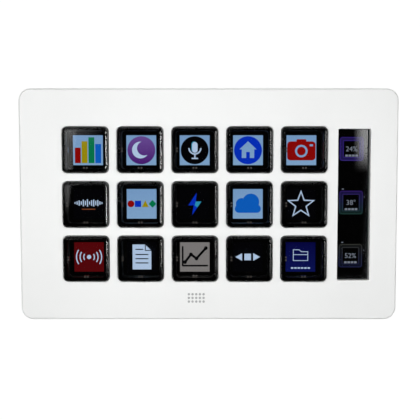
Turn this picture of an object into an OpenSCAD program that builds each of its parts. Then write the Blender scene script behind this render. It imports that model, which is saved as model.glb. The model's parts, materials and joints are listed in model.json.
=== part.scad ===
// Desk key pad: fifteen clear keys and a display strip over one screen, with a fold-out stand.
// Millimetres. The pad lies on its feet: X runs along its length, Y towards the socket edge,
// Z up out of the face. The origin is under the middle of the case, on the surface it rests on.

/* [Keys] */
// Side of a square key
key_w = 21; // [20.2:0.1:21.4]
// Corner radius of a key, seen from above
key_r = 2.2; // [1.8:0.1:3]
// Gap between a key and the edge of its opening
key_gap = 0.25; // [0.15:0.05:0.4]
// Distance from the middle of one key to the next
key_pitch = 25; // [24.8:0.1:28]
// Height of the keys' tops above the face
key_rise = 2.2; // [1.9:0.1:3]
// How far a key travels when it is pressed
key_travel = 1.2; // [0.6:0.1:1.8]
// Thickness of a key's clear cap
cap_t = 1.8; // [1.5:0.1:2.2]
// Rounding of a cap's top edge
cap_edge_r = 1.5; // [0.8:0.1:1.6]
// Depth of the step under a cap that drops into the skirt
cap_step_h = 0.8; // [0.5:0.1:1.2]
// Side of the clear window that the skirt leaves
window_w = 17.4; // [16.6:0.1:17.8]
// Corner radius of the window
window_r = 1.6; // [1.2:0.1:2.2]
// Height of the part of the skirt that the cap's hooks pass
skirt_neck_h = 2.6; // [2.2:0.1:2.9]
// How far the skirt opens out under its neck, for the hooks
skirt_undercut = 0.5; // [0.45:0.05:0.7]
// Width of one snap prong
prong_w = 0.8; // [0.6:0.1:1]
// Gap between the two prongs of a hook
prong_gap = 0.5; // [0.3:0.1:0.8]
// Height of a prong's barb
barb_h = 0.6; // [0.4:0.1:0.7]
// How far the skirt's flange stands out under the face
flange_w = 1.1; // [0.8:0.1:1.2]
// Thickness of the flange
flange_t = 1; // [0.8:0.1:1.4]
// Height of the legs that press the domes
leg_h = 0.75; // [0.5:0.05:1]
// Radius of a leg
leg_r = 0.9; // [0.7:0.1:1]

/* [Display strip] */
// Width of the strip's opening
strip_w = 14.8; // [13:0.1:17]
// Length of the strip's opening
strip_h = 69.5; // [66:0.5:72]
// Face between the last key's opening and the strip
strip_gap = 4.7; // [4.5:0.1:8]
// Depth of the strip's clear pane below the face
pane_depth = 3.5; // [3.2:0.1:4.5]
// Wall of the collar round the strip
collar_t = 1.3; // [1:0.1:1.6]

/* [Case] */
// Face to the left of the first key's opening
left_margin = 19.5; // [18.6:0.1:26]
// Face to the right of the strip
right_margin = 12.5; // [11.2:0.1:18]
// Face beyond the top row of openings
top_margin = 17.05; // [16.8:0.05:24]
// Face beyond the bottom row of openings
bottom_margin = 17.45; // [17.2:0.05:24]
// Corner radius of the case
case_r = 5.5; // [4.6:0.1:8]
// Rounding of the case's edges
case_edge_r = 0.9; // [0.5:0.1:1.4]
// Thickness of the side walls
wall_t = 2.2; // [1.8:0.1:2.4]
// Thickness of the face
face_t = 2.5; // [2:0.1:3]
// Thickness of the back cover's floor
floor_t = 2; // [1.8:0.1:2.6]
// Height of the back cover's rim
rim_h = 2.8; // [2.4:0.1:3]
// Thickness of the back cover's lip
lip_t = 1; // [0.8:0.1:1.1]
// Height of the lip inside the walls
lip_h = 2; // [1.4:0.1:2.2]
// Thickness of the ribs that tie the bosses to the walls
rib_t = 1.2; // [0.8:0.1:1.6]

/* [Screen stack] */
// Thickness of the rubber dome mat
mat_t = 0.7; // [0.5:0.1:1]
// Radius of a dome
dome_r = 1.2; // [1:0.05:1.3]
// Thickness of the contact board
contact_t = 1; // [0.8:0.1:1.6]
// Thickness of the foam gasket
gasket_t = 0.55; // [0.3:0.05:1]
// Thickness of the screen's glass
glass_t = 1.4; // [1:0.1:2]
// Thickness of the backlight
light_t = 2.4; // [1.8:0.1:3.2]
// Lit area of the screen beyond the windows
view_margin = 1.5; // [1:0.1:2]
// Dark border of the screen at its left and right ends
border_x = 4; // [3:0.1:4.2]
// Dark border of the screen along its long edges
border_y = 5; // [4:0.1:5.6]
// Thickness of the steel carrier
carrier_t = 0.8; // [0.6:0.1:1]
// Width of a carrier tab
tab_w = 8; // [6:0.5:12]

/* [Main board] */
// Thickness of the main board
board_t = 1.6; // [1.2:0.1:2]
// Room for parts between the board and the carrier
board_room = 3.4; // [3.3:0.1:5]
// Height of the bosses under the board
board_boss_h = 1.8; // [1.4:0.1:2.4]
// Length of the board
board_w = 110; // [108:1:130]
// Width of the board
board_h = 36.5; // [36:0.5:37]
// Width of the board's tongue under the socket
tongue_w = 16; // [14:1:18]
// Width of the screen's ribbon
screen_ribbon_w = 14; // [10:1:14]
// Width of the contact board's ribbon
key_ribbon_w = 12; // [8:1:12]
// Thickness of a ribbon
ribbon_t = 0.3; // [0.2:0.05:0.4]

/* [Socket] */
// Width of the USB-C socket's shell
socket_w = 8.94; // [8.94:0.01:9]
// Height of the shell
socket_h = 3.2; // [3.16:0.02:3.26]
// Length of the shell
socket_l = 7.3; // [6.5:0.1:8]
// Thickness of the shell's sheet
socket_t = 0.3; // [0.2:0.05:0.35]
// Width of the hollow round the socket in the wall
recess_w = 12.8; // [12:0.1:14]
// Height of the hollow
recess_h = 6.6; // [6:0.1:6.8]
// Depth of the hollow
recess_d = 1.2; // [0.8:0.1:1.5]

/* [Stand] */
// Width of the flap
flap_w = 100; // [90:1:104]
// Length of the flap from its hinge to its tip
flap_l = 43.2; // [38:0.1:43.5]
// Thickness of the flap
flap_t = 2.8; // [2.4:0.1:3]
// Corner radius of the flap's tip
flap_r = 6; // [3:0.5:10]
// Distance of the hinge from the middle of the back
hinge_y = 1.8; // [1.5:0.1:2.4]
// Radius of the hinge barrel
barrel_r = 2.5; // [2.3:0.1:2.7]
// Gap round the folded flap
flap_gap = 0.5; // [0.3:0.1:0.8]
// How deep the folded flap lies in the back
flap_inset = 0.2; // [0.1:0.1:0.5]
// Radius of a hinge pin
pin_r = 1; // [0.8:0.1:1.2]
// How deep a pin goes into the flap
pin_in_flap = 5; // [4:0.5:8]
// Thickness of the lugs that hold the pins
lug_t = 5; // [4:0.5:7]
// Width of the finger notch
notch_w = 20; // [16:1:24]
// How far the notch goes past the flap's tip
notch_l = 5; // [4:0.5:5.5]
// Width of the flap's rubber pad
pad_w = 60; // [40:1:80]
// Size of the pad along the flap
pad_l = 2.6; // [2:0.1:4]
// Thickness of the pad
pad_t = 1.4; // [1:0.1:1.8]

/* [Feet and screws] */
// Radius of a rubber foot
foot_r = 4.5; // [3.5:0.1:5]
// How far the feet stand out of the back
foot_proud = 0.8; // [0.5:0.1:1.5]
// Depth of a foot's recess
foot_recess = 0.8; // [0.5:0.1:1]
// Distance of the feet from the ends of the case
foot_inset_x = 22.5; // [20:0.5:26]
// Distance of the feet from the long edges
foot_inset_y = 9; // [8:0.1:9.5]
// Distance of the end screws from the ends of the case
screw_inset_x = 7.5; // [7.2:0.1:9]
// Distance of the screws from the long edges
screw_inset_y = 6; // [5.7:0.05:6.2]
// Distance of the inner case screws from the middle
mid_screw_x = 40; // [36:0.5:44]
// Radius of the bosses for the case screws
boss_r = 2.5; // [2.2:0.1:2.6]
// Radius of the case screws' threads
case_screw_r = 1.1; // [0.9:0.05:1.2]
// Length of the case screws under the head
case_screw_l = 8; // [6:0.5:10]
// Distance of the left carrier posts from the end of the case
post_inset_x = 9.5; // [9:0.1:10]
// Place of the lower left post
post_low_y = -34; // [-36:0.5:-30]
// Place of the upper left post
post_high_y = 0; // [-4:0.5:2]
// Place of the left pair of posts along the long edges
post_left_x = -20; // [-26:0.5:-17]
// Place of the right pair
post_right_x = 60; // [54:0.5:66]
// Radius of a carrier post
post_r = 2.3; // [2:0.1:2.5]
// Radius of the small screws' threads
small_screw_r = 0.9; // [0.7:0.05:1]
// Length of the carrier screws under the head
carrier_screw_l = 6; // [4:0.5:8]
// Length of the board screws under the head
board_screw_l = 4.2; // [3.6:0.1:4.4]

/* [Hidden] */
$fn = 96;
// Clearance of pieces that seat in each other
seat = 0.05;
// Play of a key between the face and the domes
key_play = 0.05;
// Clearance of pieces that are dropped in
slack = 0.15;
// Radial clearance of a pin that turns
running = 0.05;
// Radial clearance of a thread in its hole
thread = 0.05;
// Overshoot of a cut past the face that it goes through
past = 1;

key_cols = 5;
key_rows = 3;
cols = [1:key_cols];
rows = [1:key_rows];

// The case grows from its margins, the keys and the strip.
opening_w = key_w + 2 * key_gap;
opening_r = key_r + key_gap;
field_w = (key_cols - 1) * key_pitch;
field_h = (key_rows - 1) * key_pitch;
body_w = left_margin + field_w + opening_w + strip_gap + strip_w + right_margin;
body_h = top_margin + field_h + opening_w + bottom_margin;
field_x = -body_w / 2 + left_margin + opening_w / 2 + field_w / 2;
field_y = -body_h / 2 + bottom_margin + opening_w / 2 + field_h / 2;
strip_x = body_w / 2 - right_margin - strip_w / 2;
strip_y = 0;

// Heights, from the surface that the feet stand on up to the keys.
z_back = foot_proud;
z_floor = z_back + floor_t;
z_rim = z_back + rim_h;
z_board = z_floor + board_boss_h;
z_board_top = z_board + board_t;
z_carrier = z_board_top + board_room;
z_light = z_carrier + carrier_t;
z_glass = z_light + light_t;
z_glass_top = z_glass + glass_t;
z_contact = z_glass_top + gasket_t;
z_mat = z_contact + contact_t;
z_mat_top = z_mat + mat_t;
dome_h = key_travel + 0.4;
z_dome_top = z_mat_top + dome_h;
z_leg = z_dome_top + key_play;
z_flange = z_leg + leg_h;
z_face_under = z_flange + flange_t + key_play;
z_face = z_face_under + face_t;
z_key_top = z_face + key_rise;
z_cap = z_key_top - cap_t;
z_neck = z_cap - skirt_neck_h;
z_pane = z_face - pane_depth;

// The screen reaches past the windows of the keys and the strip.
see_w = window_w + 0.2;
see_r = window_r + 0.1;
strip_see = 0.3;
lit_left = field_x - field_w / 2 - see_w / 2 - view_margin;
lit_right = strip_x + strip_w / 2 + view_margin;
lit_top = max(strip_y + strip_h / 2, field_y + field_h / 2 + see_w / 2) + view_margin;
lit_low = min(strip_y - strip_h / 2, field_y - field_h / 2 - see_w / 2) - view_margin;
screen_left = lit_left - border_x;
screen_right = lit_right + border_x;
screen_top = lit_top + border_y;
screen_low = lit_low - border_y;
screen_r = 1;

// Screws, posts and feet.
screw_y = body_h / 2 - screw_inset_y;
end_screw_x = body_w / 2 - screw_inset_x;
case_screw_at = [for (x = [-end_screw_x, -mid_screw_x, mid_screw_x, end_screw_x], y = [-screw_y, screw_y]) [x, y]];
side_post_x = -body_w / 2 + post_inset_x;
edge_post_at = [for (x = [post_left_x, post_right_x], y = [-screw_y, screw_y]) [x, y]];
side_post_at = [for (y = [post_low_y, post_high_y]) [side_post_x, y]];
foot_at = [for (x = [-1, 1], y = [-1, 1]) [x * (body_w / 2 - foot_inset_x), y * (body_h / 2 - foot_inset_y)]];
screw_head_r = 2;
screw_head_h = 0.9;
head_sink = 1;
small_head_r = 1.9;
small_head_h = 1.2;
bore_spare = 0.5;

// The main board fills the upper half of the back, beside the hinge.
board_top_y = screw_y - boss_r - 0.5;
board_low_y = board_top_y - board_h;
board_r = 1.5;
socket_y = body_h / 2 - wall_t - 0.2;
socket_z = z_board_top + socket_h / 2;
socket_hole_gap = 0.25;
lip_notch_w = tongue_w + 4;
// Board screws: distances from the board's ends and long edges.
board_screw_in = 4;
board_screw_low = 5;
board_screw_left = 19;
board_screw_mid = 16;
board_screw_at = [
    [-board_w / 2 + board_screw_in, board_top_y - board_screw_left],
    [board_w / 2 - board_screw_in, board_low_y + board_screw_low],
    [board_w / 2 - board_screw_in, board_top_y - board_screw_low],
    [-board_screw_mid, board_top_y - board_screw_in]
];
board_boss_r = 2.2;

// Ribbons leave the stack at the left and turn back under it to their connectors.
screen_ribbon_in = 7.5;
key_ribbon_in = 10;
screen_ribbon_y = board_low_y + screen_ribbon_in;
key_ribbon_y = board_top_y - key_ribbon_in;
screen_ribbon_out = 3.4;
key_ribbon_out = 5;
screen_ribbon_grip = 0.2;
connector_l = 4;
connector_h = 1.8;
connector_in = 12;
connector_x = -board_w / 2 + connector_in;
connector_more = 2;
ribbon_bend_r = 1;
ribbon_lift = 0.7;
z_ribbon = z_board_top + ribbon_lift;

// The stand lies in a pocket of the back; its barrel turns in a deeper trench.
hinge_z = z_back + flap_inset + barrel_r;
pocket_w = flap_w + 2 * flap_gap;
pocket_low_y = hinge_y - flap_l - flap_gap;
pocket_d = flap_inset + flap_t + 0.3;
trench_d = flap_inset + 2 * barrel_r + 0.4;
trench_half = barrel_r + flap_gap;
pocket_wall = 1.6;
// Heels on the barrel meet the trench's ceiling when the stand is fully open.
stand_open = 62;
heel_w = 12;
heel_r = trench_half - seat;
heel_room = z_back + trench_d - hinge_z - seat;
heel_turn = asin(heel_room / heel_r) - stand_open;
heel_root = barrel_r * 0.55;

// Parts on the board: [x from the middle, y from the board's low edge, length, width, height]
chips = [
    [12, 17, 12, 12, 1.2], [-10, 18, 8, 6, 1], [30, 24, 5, 5, 1],
    [22, 8, 3.2, 2.5, 0.8], [34, 12, 4, 4, 2], [-26, 10, 6, 3, 1.4], [6, 31, 4.5, 3, 1.3]
];

function key_name(c, r, piece) = str("key_r", r, "c", c, "_", piece);
// Middle of a key: row 1 is the top row, column 1 the left one.
function key_at(c, r) = [field_x - field_w / 2 + (c - 1) * key_pitch, field_y + field_h / 2 - (r - 1) * key_pitch];

// ---- Shared shapes ----

module round_rect(w, h, r) {
    square([w - 2 * r, h], center = true);
    square([w, h - 2 * r], center = true);
    for (x = [-1, 1], y = [-1, 1])
        translate([x * (w / 2 - r), y * (h / 2 - r)])
            circle(r);
}

// A round_rect given by its left, low, right and top edges.
module round_box(x0, y0, x1, y1, r) {
    translate([(x0 + x1) / 2, (y0 + y1) / 2])
        round_rect(x1 - x0, y1 - y0, r);
}

// Carries a profile (x outwards from the corner's centre, y up) round a rounded rectangle.
module sweep_round(w, h, r) {
    for (i = [0:3]) {
        side_x = i == 0 || i == 3 ? 1 : -1;
        side_y = i < 2 ? 1 : -1;
        translate([side_x * (w / 2 - r), side_y * (h / 2 - r), 0])
            rotate([0, 0, 90 * i])
                rotate_extrude(angle = 90) children();
    }
    for (s = [-1, 1]) {
        translate([s * (w / 2 - r), 0, 0])
            rotate([90, 0, s > 0 ? 0 : 180])
                linear_extrude(h - 2 * r, center = true) children();
        translate([0, s * (h / 2 - r), 0])
            rotate([90, 0, s * 90])
                linear_extrude(w - 2 * r, center = true) children();
    }
}

// A wall's section, r wide and t high, with its top outer corner rounded to e.
module edge_profile(r, t, e) {
    square([r, t - e]);
    square([r - e, t]);
    translate([r - e, t - e])
        intersection() {
            circle(e);
            square(e);
        }
}

// A block with rounded corners and a rounded top edge, standing on z = 0.
module soft_block(w, h, t, r, e) {
    sweep_round(w, h, r)
        edge_profile(r, t, e);
    linear_extrude(t)
        square([w - 2 * r, h - 2 * r], center = true);
}

module at_each(places) {
    for (p = places)
        translate([p[0], p[1], 0]) children();
}

module at_key(c, r) {
    translate(concat(key_at(c, r), 0)) children();
}

// The same hole or post at every key.
module at_keys() {
    for (c = cols, r = rows)
        at_key(c, r) children();
}

module at_dome() {
    reach = (window_w / 2 + key_w / 2 + flange_w) / 2;
    for (x = [-reach, reach], y = [-reach, reach])
        translate([x, y, 0]) children();
}

// A screw: head below z = 0 and thread above it, or the other way up.
module screw(head_r, head_h, thread_r, length) {
    translate([0, 0, -head_h])
        difference() {
            cylinder(h = head_h, r = head_r);
            translate([0, 0, -past])
                cylinder(h = past + head_h * 0.6, r = head_r * 0.5, $fn = 6);
        }
    cylinder(h = length, r = thread_r);
}

// The rounded outline of the socket, standing on the XZ plane and running along +Y.
module socket_outline(w, h, r, depth) {
    rotate([-90, 0, 0])
        linear_extrude(depth)
            round_rect(w, h, r);
}

// ---- Keys ----

module snap_hook() {
    reach = window_w / 2 - seat;
    depth = skirt_neck_h + seat;
    barb = skirt_undercut - slack + seat;
    for (s = [-1, 1])
        translate([reach - prong_w, s * (prong_gap + prong_w) / 2, -cap_step_h])
            rotate([90, 0, 0])
                linear_extrude(prong_w, center = true)
                    polygon([
                        [0, 0], [prong_w, 0], [prong_w, cap_step_h - depth],
                        [prong_w + barb, cap_step_h - depth],
                        [prong_w, cap_step_h - depth - barb_h], [0, cap_step_h - depth - barb_h]
                    ]);
}

module key_cap(c, r) {
    edge = min(cap_edge_r, cap_t - 0.2, key_r - 0.2);
    color("white", 0.4)
        at_key(c, r)
            translate([0, 0, z_cap]) {
                soft_block(key_w, key_w, cap_t, key_r, edge);
                translate([0, 0, -cap_step_h])
                    linear_extrude(cap_step_h)
                        round_rect(window_w - 2 * seat, window_w - 2 * seat, window_r - seat);
                for (side = [180, 270])
                    rotate([0, 0, side])
                        snap_hook();
            }
}

module key_skirt(c, r) {
    flange_side = key_w + 2 * flange_w;
    undercut_w = window_w + 2 * skirt_undercut;
    color("#151517")
        at_key(c, r)
            difference() {
                union() {
                    translate([0, 0, z_flange])
                        linear_extrude(z_cap - z_flange)
                            round_rect(key_w, key_w, key_r);
                    translate([0, 0, z_flange])
                        linear_extrude(flange_t)
                            round_rect(flange_side, flange_side, key_r);
                    at_dome()
                        translate([0, 0, z_leg])
                            cylinder(h = leg_h, r = leg_r);
                }
                translate([0, 0, z_flange - past])
                    linear_extrude(z_cap - z_flange + 2 * past)
                        round_rect(window_w, window_w, window_r);
                translate([0, 0, z_flange - past])
                    linear_extrude(z_neck - z_flange + past)
                        round_rect(undercut_w, undercut_w, window_r);
            }
}

// ---- Case ----

module strip_outline(more, r) {
    translate([strip_x, strip_y])
        round_rect(strip_w + 2 * more, strip_h + 2 * more, r);
}

module wall_rib(p, to, z0) {
    x0 = min(p[0], to[0]);
    x1 = max(p[0], to[0]);
    y0 = min(p[1], to[1]);
    y1 = max(p[1], to[1]);
    across = p[0] == to[0] ? [rib_t / 2, 0] : [0, rib_t / 2];
    translate([x0 - across[0], y0 - across[1], z0])
        cube([x1 - x0 + 2 * across[0], y1 - y0 + 2 * across[1], z_face_under - z0 + seat]);
}

module front_case() {
    wall_h = z_face - z_rim;
    inner_x = body_w / 2 - wall_t / 2;
    inner_y = body_h / 2 - wall_t / 2;
    rib_z = z_rim + lip_h + 0.3;
    case_bore_h = case_screw_l - (floor_t - head_sink) + bore_spare;
    carrier_bore_h = carrier_screw_l - carrier_t + bore_spare;
    color("#f2f3f2")
        difference() {
            union() {
                translate([0, 0, z_rim])
                    sweep_round(body_w, body_h, case_r)
                        difference() {
                            edge_profile(case_r, wall_h, case_edge_r);
                            translate([-past, -past])
                                square([case_r - wall_t + past, wall_h - face_t + past]);
                        }
                translate([0, 0, z_face_under])
                    linear_extrude(face_t)
                        square([body_w - 2 * case_r, body_h - 2 * case_r], center = true);
                // Collar that carries the strip's pane
                translate([0, 0, z_pane])
                    linear_extrude(pane_depth - face_t + seat)
                        strip_outline(collar_t, collar_t);
                // Bosses for the case screws and posts for the screen's carrier
                at_each(case_screw_at)
                    translate([0, 0, z_floor])
                        cylinder(h = z_face_under - z_floor + seat, r = boss_r);
                at_each(concat(edge_post_at, side_post_at))
                    translate([0, 0, z_light])
                        cylinder(h = z_face_under - z_light + seat, r = post_r);
                for (p = case_screw_at)
                    wall_rib(p, [p[0], sign(p[1]) * inner_y], rib_z);
                for (p = case_screw_at)
                    if (abs(p[0]) == end_screw_x)
                        wall_rib(p, [sign(p[0]) * inner_x, p[1]], rib_z);
                for (p = edge_post_at)
                    wall_rib(p, [p[0], sign(p[1]) * inner_y], z_light + 1);
                for (p = side_post_at)
                    wall_rib(p, [-inner_x, p[1]], z_light + 1);
            }
            at_keys()
                translate([0, 0, z_face_under - past])
                    linear_extrude(face_t + 2 * past)
                        round_rect(opening_w, opening_w, opening_r);
            translate([0, 0, z_pane - past])
                linear_extrude(pane_depth + 2 * past)
                    strip_outline(0, 0.4);
            at_each(case_screw_at)
                translate([0, 0, z_floor - past])
                    cylinder(h = case_bore_h + past, r = case_screw_r + thread);
            at_each(concat(edge_post_at, side_post_at))
                translate([0, 0, z_light - past])
                    cylinder(h = carrier_bore_h + past, r = small_screw_r + thread);
            translate([0, body_h / 2 - wall_t - past, socket_z])
                socket_outline(
                    socket_w + 2 * socket_hole_gap, socket_h + 2 * socket_hole_gap,
                    socket_h / 2, wall_t + 2 * past
                );
            translate([0, body_h / 2 - recess_d, socket_z])
                socket_outline(recess_w, recess_h, 2, recess_d + past);
        }
}

module strip_window() {
    color("#1c1d20", 0.6)
        translate([0, 0, z_mat_top])
            linear_extrude(z_pane - z_mat_top)
                strip_outline(collar_t, collar_t);
}

// ---- Stack under the face ----

// The outline that the grid, the mat and the contact board share with the screen.
module stack_outline(inset) {
    round_box(screen_left + inset, screen_low + inset, screen_right - inset, screen_top - inset, screen_r);
}

module stack_windows() {
    for (c = cols, r = rows)
        translate(key_at(c, r))
            round_rect(see_w, see_w, see_r);
    strip_outline(strip_see, 0.4);
}

module key_grid() {
    pocket_side = key_w + 2 * flange_w + 2 * slack + 0.3;
    color("#202124")
        translate([0, 0, z_mat_top])
            difference() {
                linear_extrude(z_face_under - z_mat_top)
                    stack_outline(0);
                translate([0, 0, -past])
                    linear_extrude(z_face_under - z_mat_top + 2 * past) {
                        for (c = cols, r = rows)
                            translate(key_at(c, r))
                                round_rect(pocket_side, pocket_side, key_r + 0.3);
                        strip_outline(collar_t + slack, collar_t + slack);
                    }
            }
}

module dome_mat() {
    color("#8a8d90") {
        translate([0, 0, z_mat])
            linear_extrude(mat_t)
                difference() {
                    stack_outline(0.3);
                    stack_windows();
                }
        at_keys()
            at_dome()
                translate([0, 0, z_mat_top - mat_t / 2])
                    cylinder(h = dome_h + mat_t / 2, r1 = dome_r, r2 = dome_r * 0.7);
    }
}

module contact_board() {
    color("#123d28")
        translate([0, 0, z_contact])
            linear_extrude(contact_t)
                difference() {
                    stack_outline(0);
                    stack_windows();
                }
}

module screen_gasket() {
    color("#111111")
        translate([0, 0, z_glass_top])
            linear_extrude(gasket_t)
                difference() {
                    stack_outline(0.3);
                    round_box(lit_left, lit_low, lit_right, lit_top, 0.5);
                }
}

module lcd_glass() {
    color("#0a0b10")
        translate([0, 0, z_glass])
            linear_extrude(glass_t)
                stack_outline(0);
}

module lcd_backlight() {
    color("#d8dadc")
        translate([0, 0, z_light])
            linear_extrude(light_t)
                stack_outline(0.2);
}

module screen_carrier() {
    out = slack + carrier_t;
    ear_r = post_r + 0.9;
    stack_x = (screen_left + screen_right) / 2;
    color("#a9adb0")
        translate([0, 0, z_carrier])
            difference() {
                union() {
                    linear_extrude(carrier_t) {
                        stack_outline(-out);
                        at_each(concat(edge_post_at, side_post_at))
                            circle(ear_r);
                        for (p = edge_post_at)
                            translate([p[0] - ear_r, p[1] > 0 ? 0 : p[1]])
                                square([2 * ear_r, abs(p[1])]);
                        for (p = side_post_at)
                            translate([p[0], p[1] - ear_r])
                                square([screen_left - p[0], 2 * ear_r]);
                    }
                    // Upturned tabs that keep the screen in place
                    for (y = [screen_low - out, screen_top + slack])
                        translate([stack_x - tab_w / 2, y, 0])
                            cube([tab_w, carrier_t, carrier_t + light_t]);
                    translate([screen_left - out, post_low_y + 10, 0])
                        cube([carrier_t, tab_w, carrier_t + light_t]);
                    translate([screen_right + slack, -tab_w / 2, 0])
                        cube([carrier_t, tab_w, carrier_t + light_t]);
                }
                at_each(concat(edge_post_at, side_post_at))
                    translate([0, 0, -past])
                        cylinder(h = carrier_t + 2 * past, r = small_screw_r + 0.2);
            }
}

module carrier_screws() {
    color("#c4c6c8")
        at_each(concat(edge_post_at, side_post_at))
            translate([0, 0, z_carrier])
                screw(small_head_r, small_head_h, small_screw_r, carrier_screw_l);
}

// ---- Main board ----

module main_board() {
    color("#14452e")
        translate([0, 0, z_board])
            difference() {
                linear_extrude(board_t) {
                    round_box(-board_w / 2, board_low_y, board_w / 2, board_top_y, board_r);
                    translate([-tongue_w / 2, board_top_y - board_r])
                        square([tongue_w, socket_y - 0.6 - board_top_y + board_r]);
                }
                at_each(board_screw_at)
                    translate([0, 0, -past])
                        cylinder(h = board_t + 2 * past, r = small_screw_r + 0.15);
            }
}

module board_chips() {
    color("#1a1a1c")
        for (p = chips)
            translate([p[0] - p[2] / 2, board_low_y + p[1] - p[3] / 2, z_board_top])
                cube([p[2], p[3], p[4]]);
}

module ribbon_connectors() {
    color("#e4dfd0")
        for (p = [[screen_ribbon_y, screen_ribbon_w], [key_ribbon_y, key_ribbon_w]])
            translate([connector_x, p[0] - p[1] / 2 - connector_more / 2, z_board_top])
                cube([connector_l, p[1] + connector_more, connector_h]);
}

// A flat ribbon: from x_end at height z_end out to x_turn, down, and back to its connector.
module ribbon(x_turn, x_end, z_end, y, w) {
    span = connector_x - x_turn;
    drop = z_end - z_ribbon;
    translate([x_turn, y + w / 2, z_ribbon])
        rotate([90, 0, 0])
            linear_extrude(w)
                difference() {
                    translate([span, (drop + ribbon_t) / 2])
                        round_rect(2 * span, drop + ribbon_t, ribbon_bend_r + ribbon_t);
                    translate([span + ribbon_t, (drop + ribbon_t) / 2])
                        round_rect(2 * span, drop - ribbon_t, ribbon_bend_r);
                    translate([span, -past])
                        square([2 * span, drop + ribbon_t + 2 * past]);
                    translate([x_end - x_turn, drop / 2])
                        square([2 * span, drop]);
                }
}

module screen_ribbon() {
    color("#b5772a")
        ribbon(
            screen_left - screen_ribbon_out, screen_left + screen_ribbon_grip,
            z_light + light_t / 2, screen_ribbon_y, screen_ribbon_w
        );
}

module key_ribbon() {
    color("#b5772a")
        ribbon(
            screen_left - key_ribbon_out, screen_left,
            z_contact + contact_t / 2, key_ribbon_y, key_ribbon_w
        );
}

module usb_socket_shell() {
    color("#b9bcbf")
        translate([0, socket_y - socket_l, socket_z])
            difference() {
                socket_outline(socket_w, socket_h, socket_h / 2 - 0.05, socket_l);
                translate([0, -past, 0])
                    socket_outline(
                        socket_w - 2 * socket_t, socket_h - 2 * socket_t,
                        socket_h / 2 - 0.05 - socket_t, socket_l + 2 * past
                    );
            }
}

module usb_socket_tongue() {
    base_l = 1.8;
    blade_w = 6.7;
    blade_t = 0.7;
    blade_l = 4.5;
    color("#1b1b1d")
        translate([0, socket_y - socket_l, socket_z]) {
            socket_outline(
                socket_w - 2 * socket_t, socket_h - 2 * socket_t,
                socket_h / 2 - 0.05 - socket_t, base_l
            );
            translate([-blade_w / 2, base_l - seat, -blade_t / 2])
                cube([blade_w, blade_l + seat, blade_t]);
        }
}

module board_screws() {
    color("#c4c6c8")
        at_each(board_screw_at)
            translate([0, 0, z_board_top])
                mirror([0, 0, 1])
                    screw(small_head_r, small_head_h, small_screw_r, board_screw_l);
}

// ---- Back ----

module back_cover() {
    bore_d = board_screw_l - board_t - board_boss_h + 0.2;
    block_w = pocket_w + 2 * pocket_wall;
    trench_top = trench_d + pocket_wall;
    notch_low_y = pocket_low_y - notch_l;
    color("#e9eae9")
        difference() {
            union() {
                translate([0, 0, z_rim])
                    mirror([0, 0, 1])
                        sweep_round(body_w, body_h, case_r)
                            difference() {
                                edge_profile(case_r, rim_h, case_edge_r);
                                translate([-past, -past])
                                    square([case_r - wall_t - slack - lip_t + past, rim_h - floor_t + past]);
                            }
                translate([0, 0, z_back])
                    linear_extrude(floor_t)
                        square([body_w - 2 * case_r, body_h - 2 * case_r], center = true);
                // Lip inside the front case's walls, open at the socket
                translate([0, 0, z_rim - seat])
                    difference() {
                        sweep_round(body_w, body_h, case_r)
                            translate([case_r - wall_t - slack - lip_t, 0])
                                square([lip_t, lip_h + seat]);
                        translate([-lip_notch_w / 2, body_h / 2 - case_r, seat])
                            cube([lip_notch_w, case_r, lip_h + past]);
                    }
                // Raised floor over the stand's pocket, its trench and its lugs
                translate([-block_w / 2, pocket_low_y - pocket_wall, z_back])
                    cube([block_w, hinge_y - pocket_low_y + pocket_wall, pocket_d + floor_t]);
                translate([-notch_w / 2 - pocket_wall, notch_low_y - pocket_wall, z_back])
                    cube([notch_w + 2 * pocket_wall, notch_l + 2 * pocket_wall, pocket_d + floor_t]);
                translate([-pocket_w / 2 - lug_t, hinge_y - trench_half - pocket_wall, z_back])
                    cube([pocket_w + 2 * lug_t, 2 * (trench_half + pocket_wall), trench_top]);
                at_each(board_screw_at)
                    translate([0, 0, z_floor - seat])
                        cylinder(h = board_boss_h + seat, r = board_boss_r);
            }
            // Pocket, finger notch and trench
            translate([0, 0, z_back - past])
                linear_extrude(pocket_d + past) {
                    round_box(-pocket_w / 2, pocket_low_y, pocket_w / 2, hinge_y, flap_r + flap_gap);
                    translate([-pocket_w / 2, hinge_y - flap_l / 2])
                        square([pocket_w, flap_l / 2]);
                    round_box(-notch_w / 2, notch_low_y, notch_w / 2, pocket_low_y + notch_l, 2);
                }
            translate([-pocket_w / 2, hinge_y - trench_half, z_back - past])
                cube([pocket_w, 2 * trench_half, trench_d + past]);
            // Bores for the hinge pins
            translate([0, hinge_y, hinge_z])
                rotate([0, 90, 0])
                    cylinder(h = pocket_w + 2 * lug_t + 2 * past, r = pin_r + seat / 2, center = true);
            at_each(board_screw_at)
                translate([0, 0, z_board - board_boss_h - bore_d])
                    cylinder(h = board_boss_h + bore_d + past, r = small_screw_r + thread);
            at_each(case_screw_at)
                translate([0, 0, z_back - past]) {
                    cylinder(h = floor_t + 2 * past, r = case_screw_r + 2 * thread);
                    cylinder(h = head_sink + past, r = screw_head_r + slack);
                }
            at_each(foot_at)
                translate([0, 0, z_back - past])
                    cylinder(h = foot_recess + past, r = foot_r + seat);
        }
}

module case_screws() {
    color("#c4c6c8")
        at_each(case_screw_at)
            translate([0, 0, z_back + head_sink])
                screw(screw_head_r, screw_head_h, case_screw_r, case_screw_l);
}

module rubber_feet() {
    color("#2b2c2e")
        at_each(foot_at)
            soft_foot();
}

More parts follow.
